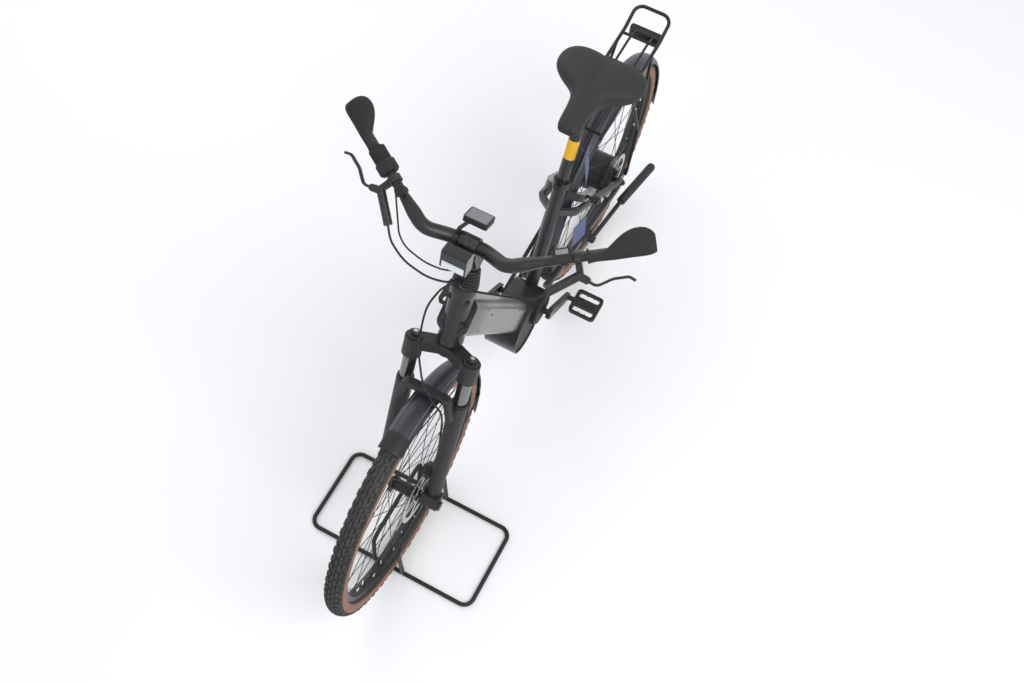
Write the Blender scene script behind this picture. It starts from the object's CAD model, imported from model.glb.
import bpy
import bmesh
from math import cos, pi, radians, sin, sqrt
from mathutils import Matrix, Vector


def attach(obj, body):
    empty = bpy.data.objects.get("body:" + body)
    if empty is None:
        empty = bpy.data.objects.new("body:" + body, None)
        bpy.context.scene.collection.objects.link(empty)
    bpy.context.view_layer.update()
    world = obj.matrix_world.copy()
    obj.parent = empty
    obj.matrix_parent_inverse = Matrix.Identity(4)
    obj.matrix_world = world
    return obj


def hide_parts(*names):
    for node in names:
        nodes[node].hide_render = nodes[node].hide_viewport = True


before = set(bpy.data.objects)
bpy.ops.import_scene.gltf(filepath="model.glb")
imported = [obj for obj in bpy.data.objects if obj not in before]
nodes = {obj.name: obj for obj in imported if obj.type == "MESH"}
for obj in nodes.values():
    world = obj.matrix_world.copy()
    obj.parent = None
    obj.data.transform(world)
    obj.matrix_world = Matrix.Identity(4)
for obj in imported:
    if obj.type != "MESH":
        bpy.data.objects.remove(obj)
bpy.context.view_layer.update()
scene = bpy.context.scene
print("frame loaded,", len(nodes), "nodes")

# places on the bicycle, in metres
frontAxle = Vector((0.57525, 0, 0.36))
rearAxle = Vector((-0.56475, 0, 0.36))
bracket = Vector((-0.09875, 0, 0.296))
steerUp = Vector((-0.39073113, 0, 0.92050485))
steerFore = Vector((0.92050485, 0, 0.39073113))
steerFoot = frontAxle - steerFore * 0.046
seatFoot = Vector((rearAxle.x + 0.428, 0, 0.329))
seatUp = Vector((-cos(radians(70)), 0, sin(radians(70))))


def onSteering(fore, sideways, up):
    return steerFoot + steerFore * fore + Vector((0, sideways, 0)) + steerUp * up


def onSeat(height, sideways=0):
    return seatFoot + seatUp * ((height - seatFoot.z) / seatUp.z) + Vector((0, sideways, 0))


# shader node groups shared by several finishes

def newGroup(name, inputs, outputs):
    group = bpy.data.node_groups.new(name, "ShaderNodeTree")
    for label, kind, value in inputs:
        socket = group.interface.new_socket(label, in_out="INPUT", socket_type=kind)
        if value is not None:
            socket.default_value = value
    for label, kind in outputs:
        group.interface.new_socket(label, in_out="OUTPUT", socket_type=kind)
    source = group.nodes.new("NodeGroupInput")
    result = group.nodes.new("NodeGroupOutput")
    return group, source, result


def addNode(tree, kind, links=None, **settings):
    node = tree.nodes.new(kind)
    for key, value in settings.items():
        setattr(node, key, value)
    for key, value in (links or {}).items():
        if isinstance(value, bpy.types.NodeSocket):
            tree.links.new(value, node.inputs[key])
        else:
            node.inputs[key].default_value = value
    return node


def math(tree, operation, first, second=0.0, third=None, clamp=False):
    values = {0: first, 1: second}
    if third is not None:
        values[2] = third
    return addNode(tree, "ShaderNodeMath", values, operation=operation, use_clamp=clamp).outputs[0]


def makeGrain():    # two sizes of cell, for moulded plastic, leather and rubber
    group, source, result = newGroup("mouldGrain", [("Scale", "NodeSocketFloat", 900.0),
                                                    ("Vector", "NodeSocketVector", None)],
                                     [("Height", "NodeSocketFloat"), ("Mask", "NodeSocketFloat")])
    coarse = addNode(group, "ShaderNodeTexVoronoi", {"Vector": source.outputs["Vector"],
                                                     "Scale": source.outputs["Scale"]},
                     feature="SMOOTH_F1")
    coarse.inputs["Smoothness"].default_value = 0.4
    double = math(group, "MULTIPLY", source.outputs["Scale"], 2.3)
    fine = addNode(group, "ShaderNodeTexNoise", {"Vector": source.outputs["Vector"], "Scale": double,
                                                 "Detail": 2.0})
    total = math(group, "ADD", coarse.outputs["Distance"],
                 math(group, "MULTIPLY", fine.outputs["Fac"], 0.5))
    group.links.new(total, result.inputs["Height"])
    group.links.new(fine.outputs["Fac"], result.inputs["Mask"])
    return group


def makeEdgeWear():    # bright on convex edges, broken up by noise
    group, source, result = newGroup("edgeWear", [("Vector", "NodeSocketVector", None),
                                                  ("Amount", "NodeSocketFloat", 0.5)],
                                     [("Mask", "NodeSocketFloat")])
    geometry = addNode(group, "ShaderNodeNewGeometry")
    edge = addNode(group, "ShaderNodeMapRange", {"Value": geometry.outputs["Pointiness"], "From Min": 0.53,
                                                 "From Max": 0.62})
    noise = addNode(group, "ShaderNodeTexNoise", {"Vector": source.outputs["Vector"], "Scale": 160.0,
                                                  "Detail": 6.0})
    broken = addNode(group, "ShaderNodeMapRange", {"Value": noise.outputs["Fac"], "From Min": 0.42,
                                                   "From Max": 0.62})
    both = math(group, "MULTIPLY", edge.outputs["Result"], broken.outputs["Result"])
    group.links.new(math(group, "MULTIPLY", both, source.outputs["Amount"], clamp=True),
                    result.inputs["Mask"])
    return group


def makeDust():    # a little dust where the surface faces up
    group, source, result = newGroup("settledDust", [("Vector", "NodeSocketVector", None),
                                                     ("Amount", "NodeSocketFloat", 0.3)],
                                     [("Mask", "NodeSocketFloat")])
    geometry = addNode(group, "ShaderNodeNewGeometry")
    split = addNode(group, "ShaderNodeSeparateXYZ", {0: geometry.outputs["Normal"]})
    facing = addNode(group, "ShaderNodeMapRange", {"Value": split.outputs["Z"], "From Min": 0.2,
                                                   "From Max": 1.0})
    noise = addNode(group, "ShaderNodeTexNoise", {"Vector": source.outputs["Vector"], "Scale": 38.0,
                                                  "Detail": 8.0,
                                                  "Roughness": 0.65})
    patchy = addNode(group, "ShaderNodeMapRange", {"Value": noise.outputs["Fac"], "From Min": 0.38,
                                                   "From Max": 0.75})
    both = math(group, "MULTIPLY", facing.outputs["Result"], patchy.outputs["Result"])
    group.links.new(math(group, "MULTIPLY", both, source.outputs["Amount"], clamp=True),
                    result.inputs["Mask"])
    return group


def makeBrushed():    # streaks along one axis
    group, source, result = newGroup("brushedStreaks", [("Vector", "NodeSocketVector", None),
                                                        ("Scale", "NodeSocketFloat", 400.0)],
                                     [("Height", "NodeSocketFloat"), ("Mask", "NodeSocketFloat")])
    stretch = addNode(group, "ShaderNodeMapping", {"Vector": source.outputs["Vector"],
                                                   "Scale": (1.0, 0.06, 1.0)})
    noise = addNode(group, "ShaderNodeTexNoise", {"Vector": stretch.outputs[0],
                                                  "Scale": source.outputs["Scale"],
                                                  "Detail": 4.0})
    group.links.new(noise.outputs["Fac"], result.inputs["Height"])
    group.links.new(noise.outputs["Fac"], result.inputs["Mask"])
    return group


grainGroup = makeGrain()
wearGroup = makeEdgeWear()
dustGroup = makeDust()
brushedGroup = makeBrushed()


def placeGroup(tree, group, **values):
    node = tree.nodes.new("ShaderNodeGroup")
    node.node_tree = group
    for key, value in values.items():
        if isinstance(value, bpy.types.NodeSocket):
            tree.links.new(value, node.inputs[key])
        else:
            node.inputs[key].default_value = value
    return node


def mixColour(tree, mask, first, second):
    node = tree.nodes.new("ShaderNodeMix")
    node.data_type = "RGBA"
    for index, value in ((0, mask), (6, first), (7, second)):
        if isinstance(value, bpy.types.NodeSocket):
            tree.links.new(value, node.inputs[index])
        else:
            node.inputs[index].default_value = value
    return node.outputs[2]


def grey(value, alpha=1.0):
    return (value, value, value, alpha)


def startMaterial(name):
    material = bpy.data.materials.new(name)
    material.use_nodes = True
    tree = material.node_tree
    shader = tree.nodes["Principled BSDF"]
    place = tree.nodes.new("ShaderNodeTexCoord").outputs["Object"]
    return material, tree, shader, place


def finish(name, colour, rough=0.45, metal=0.0, grain=0.0, grainScale=900.0, shade=0.08, wear=0.0,
           wearColour=(0.2, 0.2, 0.2, 1), dust=0.0, coat=0.0, roughSpread=0.08, brushed=0.0,
           bumpDepth=0.0002,
           specular=0.35):
    material, tree, shader, place = startMaterial(name)
    colour = (*colour, 1.0)
    clouds = addNode(tree, "ShaderNodeTexNoise", {"Vector": place, "Scale": 22.0, "Detail": 6.0,
                                                  "Roughness": 0.6})
    dark = tuple(channel * (1 - shade) for channel in colour[:3]) + (1.0,)
    pale = tuple(min(1.0, channel * (1 + shade)) for channel in colour[:3]) + (1.0,)
    base = mixColour(tree, clouds.outputs["Fac"], dark, pale)
    grains = placeGroup(tree, grainGroup, Vector=place, Scale=grainScale)
    streaks = placeGroup(tree, brushedGroup, Vector=place, Scale=grainScale)
    if wear:
        worn = placeGroup(tree, wearGroup, Vector=place, Amount=wear)
        base = mixColour(tree, worn.outputs["Mask"], base, wearColour)
    if dust:
        dusty = placeGroup(tree, dustGroup, Vector=place, Amount=dust)
        base = mixColour(tree, dusty.outputs["Mask"], base, (0.42, 0.40, 0.37, 1))
    tree.links.new(base, shader.inputs["Base Color"])
    roughMap = addNode(tree, "ShaderNodeMapRange", {"Value": clouds.outputs["Fac"],
                                                    "To Min": rough - roughSpread / 2,
                                                    "To Max": rough + roughSpread / 2})
    tree.links.new(roughMap.outputs["Result"], shader.inputs["Roughness"])
    shader.inputs["Metallic"].default_value = metal
    shader.inputs["Coat Weight"].default_value = coat
    shader.inputs["Coat Roughness"].default_value = 0.12
    shader.inputs["Specular IOR Level"].default_value = specular
    if grain or brushed:
        height = streaks.outputs["Height"] if brushed else grains.outputs["Height"]
        bump = addNode(tree, "ShaderNodeBump", {"Height": height, "Strength": grain or brushed,
                                                "Distance": bumpDepth})
        tree.links.new(bump.outputs["Normal"], shader.inputs["Normal"])
    return material


finishes = {
    "framePaint": finish("framePaint", (0.030, 0.030, 0.032), rough=0.38, metal=0.15, grain=0.1,
                         grainScale=2600,
                         coat=0.2, wear=0.06),
    "forkPaint": finish("forkPaint", (0.019, 0.019, 0.021), rough=0.46, grain=0.12, grainScale=2200,
                        wear=0.08),
    "rackPaint": finish("rackPaint", (0.009, 0.009, 0.010), rough=0.42, grain=0.12, grainScale=2200,
                        wear=0.08),
    "wirePaint": finish("wirePaint", (0.008, 0.008, 0.009), rough=0.45, grain=0.3, grainScale=1400,
                        wear=0.12,
                        dust=0.015),
    "darkChrome": finish("darkChrome", (0.20, 0.20, 0.205), rough=0.2, metal=0.95, brushed=0.05,
                         roughSpread=0.06),
    "anodised": finish("anodised", (0.009, 0.009, 0.010), rough=0.36, grain=0.12, grainScale=3200,
                       wear=0.12,
                       specular=0.45),
    "spokePaint": finish("spokePaint", (0.02, 0.02, 0.021), rough=0.32, metal=0.5),
    "rotorSteel": finish("rotorSteel", (0.56, 0.55, 0.53), rough=0.3, metal=1.0, brushed=0.25,
                         grainScale=700),
    "bareAlloy": finish("bareAlloy", (0.5, 0.5, 0.5), rough=0.35, metal=1.0, brushed=0.15),
    "mouldedPlastic": finish("mouldedPlastic", (0.010, 0.010, 0.011), rough=0.55, grain=0.5,
                             grainScale=1500,
                             wear=0.05),
    "guardPlastic": finish("guardPlastic", (0.020, 0.022, 0.030), rough=0.42, grain=0.1, grainScale=1600,
                           coat=0.1,
                           specular=0.4),
    "greyPlastic": finish("greyPlastic", (0.20, 0.205, 0.215), rough=0.5, grain=0.3, grainScale=1800),
    "glossPlastic": finish("glossPlastic", (0.006, 0.006, 0.007), rough=0.14, coat=0.4),
    "hoseRubber": finish("hoseRubber", (0.008, 0.008, 0.0085), rough=0.45, grain=0.2, grainScale=1800),
    "gripRubber": finish("gripRubber", (0.013, 0.013, 0.0135), rough=0.7, grain=0.9, grainScale=520,
                         shade=0.1,
                         bumpDepth=0.0005),
    "beltRubber": finish("beltRubber", (0.012, 0.012, 0.012), rough=0.65, grain=0.3, grainScale=700),
    "saddleSkin": finish("saddleSkin", (0.023, 0.023, 0.0235), rough=0.6, grain=0.45, grainScale=900,
                         shade=0.05,
                         bumpDepth=0.0003, specular=0.3),
    "pedalPlastic": finish("pedalPlastic", (0.010, 0.010, 0.0105), rough=0.55, grain=0.5, grainScale=1000,
                           wear=0.1),
    "tagCard": finish("tagCard", (0.055, 0.075, 0.19), rough=0.5, grain=0.15, grainScale=1200, shade=0.05),
    "yellowBand": finish("yellowBand", (0.75, 0.42, 0.02), rough=0.5, grain=0.1, shade=0.05),
    "screenGlass": finish("screenGlass", (0.15, 0.15, 0.16), rough=0.1, shade=0.05, coat=0.6),
}


# frame paint that is black at the head and seat tubes and greyer along the down tube
fade = {"black": (0.017, 0.017, 0.019, 1), "grey": (0.135, 0.132, 0.128, 1), "start": 0.035, "full": 0.17,
        "rough": 0.36}
tubeTop = onSteering(0, 0, 0.57428)
tubeAim = Vector((-cos(radians(58)), 0, -sin(radians(58))))


def fadedPaint():
    material, tree, shader, place = startMaterial("fadedPaint")
    fromTop = addNode(tree, "ShaderNodeVectorMath", {0: place, 1: tubeTop}, operation="SUBTRACT")
    along = addNode(tree, "ShaderNodeVectorMath", {0: fromTop.outputs[0], 1: tubeAim},
                    operation="DOT_PRODUCT")
    below = addNode(tree, "ShaderNodeMapRange", {"Value": along.outputs["Value"], "From Min": fade["start"],
                                                 "From Max": fade["full"]}, interpolation_type="SMOOTHSTEP")
    across = addNode(tree, "ShaderNodeVectorMath", {0: fromTop.outputs[0], 1: (tubeAim.z, 0, -tubeAim.x)},
                     operation="DOT_PRODUCT")
    onTube = addNode(tree, "ShaderNodeMapRange", {"Value": math(tree, "ABSOLUTE", across.outputs["Value"]),
                                                  "From Min": 0.07, "From Max": 0.05})
    lower = addNode(tree, "ShaderNodeMapRange", {"Value": along.outputs["Value"], "From Min": 0.60,
                                                 "From Max": 0.50})
    mask = math(tree, "MULTIPLY", math(tree, "MULTIPLY", below.outputs["Result"], onTube.outputs["Result"]),
                lower.outputs["Result"])
    base = mixColour(tree, mask, fade["black"], fade["grey"])
    flakes = placeGroup(tree, grainGroup, Vector=place, Scale=2600.0)
    worn = placeGroup(tree, wearGroup, Vector=place, Amount=0.06)
    base = mixColour(tree, worn.outputs["Mask"], base, (0.2, 0.2, 0.2, 1))
    tree.links.new(base, shader.inputs["Base Color"])
    roughMap = addNode(tree, "ShaderNodeMapRange", {"Value": flakes.outputs["Mask"],
                                                    "To Min": fade["rough"] - 0.05,
                                                    "To Max": fade["rough"] + 0.05})
    tree.links.new(roughMap.outputs["Result"], shader.inputs["Roughness"])
    shader.inputs["Metallic"].default_value = 0.2
    shader.inputs["Coat Weight"].default_value = 0.25
    shader.inputs["Coat Roughness"].default_value = 0.14
    shader.inputs["Specular IOR Level"].default_value = 0.4
    bump = addNode(tree, "ShaderNodeBump", {"Height": flakes.outputs["Height"], "Strength": 0.08,
                                            "Distance": 0.0002})
    tree.links.new(bump.outputs["Normal"], shader.inputs["Normal"])
    return material


# tail lamp: a black housing, red only on the face that looks backwards
def tailLamp():
    material, tree, shader, place = startMaterial("tailLamp")
    geometry = addNode(tree, "ShaderNodeNewGeometry")
    split = addNode(tree, "ShaderNodeSeparateXYZ", {0: geometry.outputs["Normal"]})
    backwards = addNode(tree, "ShaderNodeMapRange", {"Value": split.outputs["X"], "From Min": -0.75,
                                                     "From Max": -0.85})
    ribs = addNode(tree, "ShaderNodeTexWave", {"Vector": place, "Scale": 110.0}, bands_direction="Y")
    red = mixColour(tree, ribs.outputs["Fac"], (0.22, 0.006, 0.006, 1), (0.42, 0.015, 0.012, 1))
    tree.links.new(mixColour(tree, backwards.outputs["Result"], (0.008, 0.008, 0.009, 1), red),
                   shader.inputs["Base Color"])
    grains = placeGroup(tree, grainGroup, Vector=place, Scale=1400.0)
    roughMap = addNode(tree, "ShaderNodeMapRange", {"Value": grains.outputs["Mask"], "To Min": 0.28,
                                                    "To Max": 0.4})
    tree.links.new(roughMap.outputs["Result"], shader.inputs["Roughness"])
    bump = addNode(tree, "ShaderNodeBump", {"Height": ribs.outputs["Fac"], "Strength": 0.3,
                                            "Distance": 0.0006})
    tree.links.new(bump.outputs["Normal"], shader.inputs["Normal"])
    return material


finishes["fadedPaint"] = fadedPaint()
finishes["tailLamp"] = tailLamp()


def glassFinish(name, tint, rough=0.03):
    material, tree, shader, place = startMaterial(name)
    ripple = addNode(tree, "ShaderNodeTexWave", {"Vector": place, "Scale": 90.0, "Distortion": 0.4})
    shade = mixColour(tree, ripple.outputs["Fac"], (*tint, 1.0), (*[min(1, c * 1.15) for c in tint], 1.0))
    tree.links.new(shade, shader.inputs["Base Color"])
    bump = addNode(tree, "ShaderNodeBump", {"Height": ripple.outputs["Fac"], "Strength": 0.35,
                                            "Distance": 0.0006})
    tree.links.new(bump.outputs["Normal"], shader.inputs["Normal"])
    shader.inputs["Roughness"].default_value = rough
    shader.inputs["Coat Weight"].default_value = 0.7
    return material


finishes["lampLens"] = glassFinish("lampLens", (0.62, 0.64, 0.66))

nodeFinishes = {
    "wirePaint": ["stand_floor_loop", "stand_hoops"],
    "framePaint": ["rear_stays"],
    "fadedPaint": ["main_frame", "battery_cover"],
    "forkPaint": ["fork_lowers", "fork_crown", "kickstand_leg"],
    "rackPaint": ["rack"],
    "darkChrome": ["stanchions"],
    "anodised": ["front_rim", "rear_rim", "front_hub", "rear_hub", "front_thru_axle", "front_caliper",
                 "rear_caliper", "stem",
                 "handlebar", "brake_bodies", "left_brake_lever", "right_brake_lever", "lockout_dial",
                 "preload_knob",
                 "crank_arms", "front_pulley", "seat_post"],
    "spokePaint": ["front_spokes", "rear_spokes"],
    "rotorSteel": ["front_rotor", "rear_rotor", "rear_pulley"],
    "mouldedPlastic": ["headset_cover", "bar_controls", "display_body", "bell_lever", "motor", "battery",
                       "saddle_frame",
                       "fork_seals"],
    "guardPlastic": ["front_mudguard", "rear_mudguard"],
    "greyPlastic": ["stem_cover", "remote_rocker"],
    "glossPlastic": ["ring_lock", "headlight_body"],
    "hoseRubber": ["front_brake_hose", "bar_cables"],
    "gripRubber": ["grips", "twist_shifter"],
    "beltRubber": ["belt", "front_tyre", "rear_tyre"],
    "saddleSkin": ["saddle_cushion"],
    "pedalPlastic": ["left_pedal", "right_pedal"],
    "tailLamp": ["tail_light"],
    "tagCard": ["hang_tags"],
    "lampLens": ["headlight_lens"],
    "screenGlass": ["display_screen"],
}
for finishName, members in nodeFinishes.items():
    for member in members:
        mesh = nodes[member].data
        mesh.materials.clear()
        mesh.materials.append(finishes[finishName])
print("finishes made")

# mesh helpers


def meshObject(name, build, material, body, smooth=True):
    mesh = bpy.data.meshes.new(name)
    shape = bmesh.new()
    build(shape)
    bmesh.ops.recalc_face_normals(shape, faces=shape.faces)
    shape.to_mesh(mesh)
    shape.free()
    for face in mesh.polygons:
        face.use_smooth = smooth
    piece = bpy.data.objects.new(name, mesh)
    scene.collection.objects.link(piece)
    for one in (material if isinstance(material, list) else [material]):
        mesh.materials.append(finishes[one] if isinstance(one, str) else one)
    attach(piece, body)
    return piece


def smoothByAngle(piece, degrees=35):
    for face in piece.data.polygons:
        face.use_smooth = True
    sharp = bmesh.new()
    sharp.from_mesh(piece.data)
    for edge in sharp.edges:
        if len(edge.link_faces) == 2:
            edge.smooth = edge.calc_face_angle(0) < radians(degrees)
    sharp.to_mesh(piece.data)
    sharp.free()
    return piece


# tyres: a casing with tan side walls and separate tread blocks
tyre = {"casing": 0.3555, "middle": 0.331, "halfWidth": 0.0262, "bead": 0.3135, "beadHalf": 0.0118,
        "turns": 180, "pitches": 84, "span": 122, "steps": 22, "tanFrom": 0.3165, "tanTo": 0.3425}
# place in the pitch, across, stagger, half width, half length in pitches, height
treadRows = [(0, -0.0042, 0, 0.0034, 0.36, 0.0040), (0.5, 0.0042, 0, 0.0034, 0.36, 0.0040),
             (0.25, 0.0128, 0.001, 0.0032, 0.30, 0.0040), (0.75, -0.0128, -0.001, 0.0032, 0.30, 0.0040),
             (0.6, 0.0202, -0.0012, 0.0026, 0.33, 0.0038), (0.1, -0.0202, 0.0012, 0.0026, 0.33, 0.0038)]
# lift above the casing in heights, and how much of its foot a block keeps there
treadLayers = [(0.8, 0.92), (1, 0.78)]
treadRoot = -0.0006


def tyreSection():
    points = []
    span = radians(tyre["span"])
    for index in range(tyre["steps"] + 1):
        angle = -span + 2 * span * index / tyre["steps"]
        points.append((sin(angle) * tyre["halfWidth"],
                       tyre["middle"] + cos(angle) * (tyre["casing"] - tyre["middle"])))
    points = [(-tyre["beadHalf"], tyre["bead"])] + points + [(tyre["beadHalf"], tyre["bead"])]
    return points


def casingAt(across):    # radius of the casing at a distance across the tread
    share = min(1.0, abs(across) / tyre["halfWidth"])
    return tyre["middle"] + sqrt(1 - share * share) * (tyre["casing"] - tyre["middle"])


def wheelPoint(axle, angle, radius, across):
    return axle + Vector((sin(angle) * radius, across, cos(angle) * radius))


def buildTyre(axle):
    section = tyreSection()

    def build(shape):
        rings = []
        for turn in range(tyre["turns"]):
            angle = 2 * pi * turn / tyre["turns"]
            ring = [wheelPoint(axle, angle, radius, across) for across, radius in section]
            rings.append([shape.verts.new(point) for point in ring])
        count = len(section)
        for turn in range(tyre["turns"]):
            here = rings[turn]
            after = rings[(turn + 1) % tyre["turns"]]
            for index in range(count):
                following = (index + 1) % count
                face = shape.faces.new((here[index], here[following], after[following], after[index]))
                middle = (section[index][1] + section[following][1]) / 2
                face.material_index = 1 if tyre["tanFrom"] < middle < tyre["tanTo"] else 0
        blocks = []
        for pitch in range(tyre["pitches"]):
            lead = 2 * pi * pitch / tyre["pitches"]
            step = 2 * pi / tyre["pitches"]
            odd = pitch % 2
            for share, across, stagger, halfAcross, halfLength, height in treadRows:
                blocks.append((lead + step * share, across + stagger * odd, halfAcross, halfLength * step,
                               height))
        for angle, across, halfAcross, halfAngle, height in blocks:
            corners = []
            for lift, shrink in [(treadRoot, 1.0)] + [(height * up, keep) for up, keep in treadLayers]:
                for sideA, sideB in ((-1, -1), (1, -1), (1, 1), (-1, 1)):
                    place = across + sideA * halfAcross * shrink
                    share = max(-1.0, min(1.0, place / tyre["halfWidth"]))
                    lean = sqrt(1 - share * share)
                    radius = casingAt(place) + lift * lean
                    along = angle + sideB * halfAngle * shrink
                    corners.append(shape.verts.new(wheelPoint(axle, along, radius, place + lift * share)))
            for low, high in ((0, 4), (4, 8)):
                for index in range(4):
                    other = (index + 1) % 4
                    shape.faces.new((corners[low + index], corners[low + other], corners[high + other],
                                     corners[high + index]))
            shape.faces.new(corners[8:12])
    return build


def tyreRubber():
    material, tree, shader, place = startMaterial("treadRubber")
    clouds = addNode(tree, "ShaderNodeTexNoise", {"Vector": place, "Scale": 60.0, "Detail": 8.0})
    base = mixColour(tree, clouds.outputs["Fac"], grey(0.016), grey(0.034))
    dusty = placeGroup(tree, dustGroup, Vector=place, Amount=0.12)
    base = mixColour(tree, dusty.outputs["Mask"], base, (0.3, 0.28, 0.26, 1))
    tree.links.new(base, shader.inputs["Base Color"])
    shader.inputs["Roughness"].default_value = 0.72
    grains = placeGroup(tree, grainGroup, Vector=place, Scale=1300.0)
    bump = addNode(tree, "ShaderNodeBump", {"Height": grains.outputs["Height"], "Strength": 0.35,
                                            "Distance": 0.0003})
    tree.links.new(bump.outputs["Normal"], shader.inputs["Normal"])
    return material


def tanWall():
    material, tree, shader, place = startMaterial("tanWall")
    clouds = addNode(tree, "ShaderNodeTexNoise", {"Vector": place, "Scale": 90.0, "Detail": 8.0,
                                                  "Roughness": 0.7})
    base = mixColour(tree, clouds.outputs["Fac"], (0.16, 0.072, 0.040, 1), (0.30, 0.145, 0.085, 1))
    weave = addNode(tree, "ShaderNodeTexChecker", {"Vector": place, "Scale": 1400.0, "Color1": grey(0.86),
                                                   "Color2": grey(1.0)})
    both = addNode(tree, "ShaderNodeMix", data_type="RGBA", blend_type="MULTIPLY")
    both.inputs[0].default_value = 0.6
    tree.links.new(base, both.inputs[6])
    tree.links.new(weave.outputs["Color"], both.inputs[7])
    tree.links.new(both.outputs[2], shader.inputs["Base Color"])
    shader.inputs["Roughness"].default_value = 0.66
    bump = addNode(tree, "ShaderNodeBump", {"Height": weave.outputs["Fac"], "Strength": 0.2,
                                            "Distance": 0.0002})
    tree.links.new(bump.outputs["Normal"], shader.inputs["Normal"])
    return material


finishes["treadRubber"] = tyreRubber()
finishes["tanWall"] = tanWall()
for end, axle in (("front", frontAxle), ("rear", rearAxle)):
    piece = meshObject(f"{end}KnobbyTyre", buildTyre(axle), ["treadRubber", "tanWall"], f"{end}_wheel")
    smoothByAngle(piece, 40)
    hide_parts(f"{end}_tyre")
print("tyres made")


def applied(piece):    # the mesh with its modifiers worked in
    mesh = bpy.data.meshes.new_from_object(piece.evaluated_get(bpy.context.evaluated_depsgraph_get()))
    piece.modifiers.clear()
    piece.data = mesh
    for face in mesh.polygons:
        face.use_smooth = True


# saddle: a padded cover with two round rear lobes, a shallow middle channel and a seam above the base
saddle = {"rear": rearAxle.x + 0.064, "length": 0.262, "floor": 0.9113, "levels": 4, "rearNotch": 0.012,
          "notchHalf": 0.062, "channel": 0.003, "channelHalf": 0.014, "seamUp": 0.0105, "seamDepth": 0.0011,
          "seamHalf": 0.0010, "notchLength": 0.16, "channelFrom": 0.04, "channelRamp": 0.2,
          "channelTo": 0.8,
          "channelFade": 0.25, "topFacing": 0.4}
# share of the length, half width, rise, lift of the underside
saddleStations = [(-0.012, 0.052, 0.016, 0.009), (0.02, 0.090, 0.031, 0.002), (0.11, 0.1145, 0.041, 0.0),
                  (0.24, 0.1195, 0.046, 0.0), (0.36, 0.1135, 0.047, 0.0), (0.46, 0.086, 0.0465, 0.0),
                  (0.535, 0.047, 0.045, 0.0), (0.64, 0.0345, 0.041, 0.0), (0.79, 0.0315, 0.036, 0.0),
                  (0.92, 0.0305, 0.032, 0.0), (1.0, 0.025, 0.024, 0.003), (1.018, 0.011, 0.012, 0.008)]
saddleSection = [(0, 0), (0.5, 0), (0.9, 0), (1.02, 0.24), (1.02, 0.62), (0.82, 0.96), (0.42, 1.07),
                 (0, 1.08)]


def buildSaddle(shape):
    rings = []
    for share, halfWidth, rise, lift in saddleStations:
        half = [(side * halfWidth, lift + up * (rise - lift)) for side, up in saddleSection]
        ring = half + [(-side, up) for side, up in reversed(half[1:-1])]
        verts = []
        for side, up in ring:
            nearMiddle = max(0.0, 1 - abs(side) / saddle["notchHalf"])
            inwards = nearMiddle ** 2 * max(0.0, 1 - share / saddle["notchLength"])
            x = saddle["rear"] + saddle["length"] * share + saddle["rearNotch"] * inwards
            verts.append(shape.verts.new((x, side, saddle["floor"] + up)))
        rings.append(verts)
    count = len(rings[0])
    for here, after in zip(rings, rings[1:]):
        for index in range(count):
            other = (index + 1) % count
            shape.faces.new((here[index], here[other], after[other], after[index]))
    shape.faces.new(list(reversed(rings[0])))
    shape.faces.new(rings[-1])


def falloff(distance):    # 1 on the line and fading to nothing on both sides
    return 2.718 ** (-distance * distance)


saddlePad = meshObject("saddlePad", buildSaddle, "saddleSkin", "frame")
rounding = saddlePad.modifiers.new("rounding", "SUBSURF")
rounding.levels = saddle["levels"]
rounding.render_levels = saddle["levels"]
applied(saddlePad)
for vertex in saddlePad.data.vertices:
    share = (vertex.co.x - saddle["rear"]) / saddle["length"]
    begins = max(0.0, min(1.0, (share - saddle["channelFrom"]) / saddle["channelRamp"]))
    ends = max(0.0, min(1.0, (saddle["channelTo"] - share) / saddle["channelFade"]))
    if vertex.normal.z > saddle["topFacing"]:
        vertex.co.z -= saddle["channel"] * (begins * ends) * falloff(vertex.co.y / saddle["channelHalf"])
    height = (vertex.co.z - saddle["floor"] - saddle["seamUp"]) / saddle["seamHalf"]
    vertex.co -= vertex.normal * saddle["seamDepth"] * falloff(height)
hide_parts("saddle_cushion")
print("saddle made")


# small turned and bolted pieces
def buildLathe(origin, axis, outline, steps=32):    # outline: (radius, along) pairs
    axis = Vector(axis).normalized()
    helper = Vector((0, 0, 1)) if abs(axis.z) < 0.9 else Vector((1, 0, 0))
    first = axis.cross(helper).normalized()
    second = axis.cross(first)

    def build(shape):
        rings = []
        for radius, along in outline:
            ring = []
            for step in range(steps):
                outwards = first * cos(2 * pi * step / steps) + second * sin(2 * pi * step / steps)
                ring.append(shape.verts.new(Vector(origin) + axis * along + outwards * radius))
            rings.append(ring)
        for here, after in zip(rings, rings[1:]):
            for step in range(steps):
                other = (step + 1) % steps
                shape.faces.new((here[step], here[other], after[other], after[step]))
        shape.faces.new(list(reversed(rings[0])))
        shape.faces.new(rings[-1])
    return build


def boltHead(name, place, axis, body, radius=0.0042, height=0.0035, material="bareAlloy"):
    socket = radius * 0.55
    outline = [(radius * 0.86, -0.0004), (radius, 0.0002), (radius, height * 0.8), (radius * 0.88, height),
               (socket, height), (socket, height * 0.35)]
    piece = meshObject(name, buildLathe(place, axis, outline, 24), material, body)
    smoothByAngle(piece, 40)
    return piece


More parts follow.
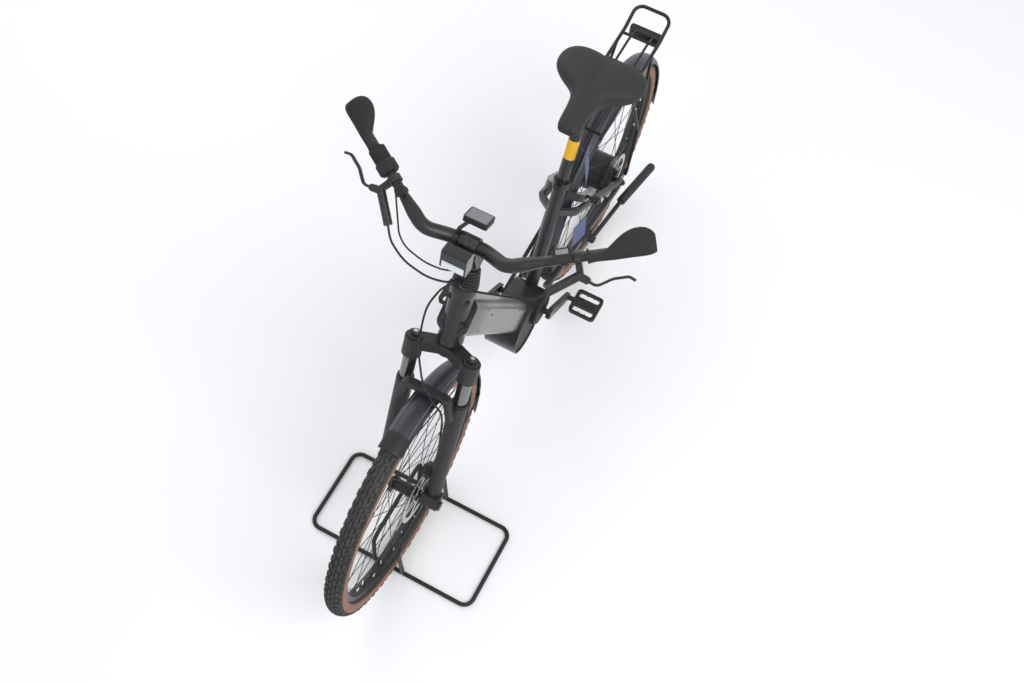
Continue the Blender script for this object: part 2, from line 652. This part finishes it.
heightBand = {"low": 0.757, "high": 0.812, "radius": 0.01585, "edge": 0.0150, "bevel": 0.0002}
low = onSeat(heightBand["low"])
bandLength = (onSeat(heightBand["high"]) - low).length
bandOutline = [(heightBand["edge"], 0), (heightBand["radius"], heightBand["bevel"]),
               (heightBand["radius"], bandLength - heightBand["bevel"]), (heightBand["edge"], bandLength)]
band = meshObject("seatPostBand", buildLathe(low, seatUp, bandOutline, 64), "yellowBand", "frame")
smoothByAngle(band, 40)

rotorBolt = {"count": 6, "circle": 0.0196, "turned": 0.3, "front": 0.038, "rear": 0.050, "proud": 0.0018,
             "radius": 0.0026, "height": 0.0016}
for wheel, axle in (("front", frontAxle), ("rear", rearAxle)):
    rotorFace = rotorBolt[wheel] + rotorBolt["proud"]
    for index in range(rotorBolt["count"]):
        angle = 2 * pi * index / rotorBolt["count"] + rotorBolt["turned"]
        boltHead(f"{wheel}RotorBolt{index + 1}", wheelPoint(axle, angle, rotorBolt["circle"], rotorFace),
                 (0, 1, 0),
                 f"{wheel}_wheel", rotorBolt["radius"], rotorBolt["height"])

crankBolt = {"out": 0.0889, "radius": 0.0068, "height": 0.0025}
for side, sign in (("left", 1), ("right", -1)):
    boltHead(f"{side}CrankBolt", bracket + Vector((0, sign * crankBolt["out"], 0)), (0, sign, 0), "cranks",
             crankBolt["radius"], crankBolt["height"])

legScrew = {"fore": 0.034, "out": 0.074, "up": 0.5032, "radius": 0.0058, "height": 0.0018}
for name, sign in (("lockout", 1), ("preload", -1)):
    boltHead(f"{name}Screw", onSteering(legScrew["fore"], sign * legScrew["out"], legScrew["up"]),
             steerUp, name,
             legScrew["radius"], legScrew["height"])
print("bolts made")

# mudguards: a pale trim line on each side and a soft flap at the front tip
guard = {"radius": 0.3705, "halfWidth": 0.032, "drop": 0.018, "lineAcross": 0.0235, "lineRadius": 0.0007,
         "flapFrom": 0.5, "flapTo": 7.6, "flapLift": 0.0016, "flapUnder": 0.0001, "flapInset": 0.001}


def guardSurface(across):
    bow = (guard["halfWidth"] ** 2 + guard["drop"] ** 2) / (2 * guard["drop"])
    return guard["radius"] - bow + sqrt(bow * bow - across * across)


def buildGuardLine(axle, across, start, end, steps=90, around=8):
    def build(shape):
        rings = []
        for step in range(steps + 1):
            angle = radians(start + (end - start) * step / steps)
            ring = []
            for turn in range(around):
                swing = 2 * pi * turn / around
                radius = guardSurface(across) + cos(swing) * guard["lineRadius"]
                sideways = across + sin(swing) * guard["lineRadius"]
                ring.append(shape.verts.new(wheelPoint(axle, angle, radius, sideways)))
            rings.append(ring)
        for here, after in zip(rings, rings[1:]):
            for turn in range(around):
                other = (turn + 1) % around
                shape.faces.new((here[turn], here[other], after[other], after[turn]))
        shape.faces.new(rings[0])
        shape.faces.new(list(reversed(rings[-1])))
    return build


def buildFlap(axle, start, end, columns=24, rows=6):
    def build(shape):
        def layer(lift):
            grid = []
            for row in range(rows + 1):
                angle = radians(start + (end - start) * row / rows)
                grid.append([])
                for column in range(columns + 1):
                    across = (2 * column / columns - 1) * (guard["halfWidth"] - guard["flapInset"])
                    grid[-1].append(shape.verts.new(wheelPoint(axle, angle, guardSurface(across) + lift,
                                                               across)))
            return grid
        top = layer(guard["flapLift"])
        low = layer(guard["flapUnder"])
        for row in range(rows):
            for column in range(columns):
                for grid in (top, low):
                    shape.faces.new((grid[row][column], grid[row][column + 1], grid[row + 1][column + 1],
                                     grid[row + 1][column]))
        rim = [(0, column) for column in range(columns)]
        rim += [(row, columns) for row in range(rows)]
        rim += [(rows, columns - column) for column in range(columns)]
        rim += [(rows - row, 0) for row in range(rows)]
        for (row, column), (nextRow, nextColumn) in zip(rim, rim[1:] + rim[:1]):
            shape.faces.new((top[row][column], top[nextRow][nextColumn], low[nextRow][nextColumn],
                             low[row][column]))
    return build


for wheel, axle, body, start, end in (("front", frontAxle, "fork_lower", -108, 3),
                                      ("rear", rearAxle, "frame", -92, 30)):
    for side, sign in (("left", 1), ("right", -1)):
        line = meshObject(f"{wheel}{side.title()}GuardLine",
                          buildGuardLine(axle, sign * guard["lineAcross"], start, end),
                          "greyPlastic", body)
flap = meshObject("frontGuardFlap", buildFlap(frontAxle, guard["flapFrom"], guard["flapTo"]),
                  "mouldedPlastic", "fork_lower")
smoothByAngle(flap, 40)
print("mudguard trim made")


# spoke nipples and valve stems
nipple = {"count": 16, "spread": 0.003, "seat": 0.2974, "towards": 0.284, "splay": 0.002, "pair": 0.25,
          "outline": [(0.0026, 0), (0.0026, 0.003), (0.0017, 0.004), (0.0017, 0.012), (0.0012, 0.0125)]}
valveStem = {"angle": 0.098, "foot": 0.2975, "tip": 0.262,
             "outline": [(0.0045, 0), (0.0045, 0.004), (0.0030, 0.005), (0.0030, 0.022), (0.0040, 0.0225),
                         (0.0040, 0.033), (0.0030, 0.0345)]}


def buildNipples(axle):
    def build(shape):
        for sign in (1, -1):
            for index in range(nipple["count"]):
                angle = 2 * pi * (index + nipple["pair"] * sign) / nipple["count"]
                start = wheelPoint(axle, angle, nipple["seat"], sign * nipple["spread"])
                end = wheelPoint(axle, angle, nipple["towards"],
                                 sign * (nipple["spread"] + nipple["splay"]))
                buildLathe(start, (end - start).normalized(), nipple["outline"], 8)(shape)
    return build


for wheel, axle in (("front", frontAxle), ("rear", rearAxle)):
    nipples = meshObject(f"{wheel}Nipples", buildNipples(axle), "bareAlloy", f"{wheel}_wheel")
    stemFoot = wheelPoint(axle, valveStem["angle"], valveStem["foot"], 0)
    stemTip = wheelPoint(axle, valveStem["angle"], valveStem["tip"], 0)
    valve = meshObject(f"{wheel}Valve", buildLathe(stemFoot, stemTip - stemFoot, valveStem["outline"], 20),
                       "mouldedPlastic", f"{wheel}_wheel")
    smoothByAngle(valve, 40)


# stage: pale floor, soft light, camera
def stageMaterial():
    material, _, shader, _ = startMaterial("paleFloor")
    shader.inputs["Base Color"].default_value = (0.86, 0.86, 0.87, 1)
    shader.inputs["Roughness"].default_value = 0.6
    return material


stage = {"half": 14.0, "floor": -0.0002, "world": 0.8, "key": 95.0, "fill": 40.0}
floorMesh = bpy.data.meshes.new("floor")
half = stage["half"]
corners = [(x * half, y * half, stage["floor"]) for x, y in ((-1, -1), (1, -1), (1, 1), (-1, 1))]
floorMesh.from_pydata(corners, [], [(0, 1, 2, 3)])
floor = bpy.data.objects.new("floor", floorMesh)
scene.collection.objects.link(floor)
floorMesh.materials.append(stageMaterial())

world = bpy.data.worlds.new("studio")
scene.world = world
world.use_nodes = True
tree = world.node_tree
tree.nodes.clear()
path = addNode(tree, "ShaderNodeLightPath")
mirrored = math(tree, "MAXIMUM", path.outputs["Is Glossy Ray"], path.outputs["Is Transmission Ray"])
seen = math(tree, "MAXIMUM", path.outputs["Is Camera Ray"], mirrored)
soft = addNode(tree, "ShaderNodeBackground", {"Color": (0.95, 0.97, 1.0, 1), "Strength": stage["world"]})
white = addNode(tree, "ShaderNodeBackground", {"Color": (1, 1, 1, 1), "Strength": 1.0})
mixed = addNode(tree, "ShaderNodeMixShader", {0: seen, 1: soft.outputs[0], 2: white.outputs[0]})
addNode(tree, "ShaderNodeOutputWorld", {"Surface": mixed.outputs[0]})


def areaLight(name, place, target, power, size):
    light = bpy.data.lights.new(name, "AREA")
    light.energy = power
    light.size = size
    lamp = bpy.data.objects.new(name, light)
    scene.collection.objects.link(lamp)
    lamp.location = place
    lamp.rotation_euler = (Vector(target) - Vector(place)).to_track_quat("-Z", "Y").to_euler()


areaLight("keyLight", (1.2, 2.4, 3.6), (0, 0, 0.5), stage["key"], 2.6)
areaLight("fillLight", (-1.8, -2.6, 3.0), (0, 0, 0.5), stage["fill"], 3.0)

view = {"place": (1.4496, 0.6077, 3.2501), "yaw": 3.5287, "pitch": 1.0933, "roll": -0.11, "lens": 41.58}
forward = Vector((cos(view["pitch"]) * cos(view["yaw"]), cos(view["pitch"]) * sin(view["yaw"]),
                  -sin(view["pitch"])))
right = forward.cross(Vector((0, 0, 1))).normalized()
down = forward.cross(right)
across = right * cos(view["roll"]) + down * sin(view["roll"])
below = down * cos(view["roll"]) - right * sin(view["roll"])
cameraData = bpy.data.cameras.new("photoCamera")
camera = bpy.data.objects.new("photoCamera", cameraData)
scene.collection.objects.link(camera)
cameraData.sensor_width = 36
cameraData.lens = view["lens"]
camera.matrix_world = Matrix.Translation(view["place"]) @ Matrix((across, -below,
                                                                  -forward)).transposed().to_4x4()
scene.camera = camera
scene.view_settings.view_transform = "Standard"
print("stage set")
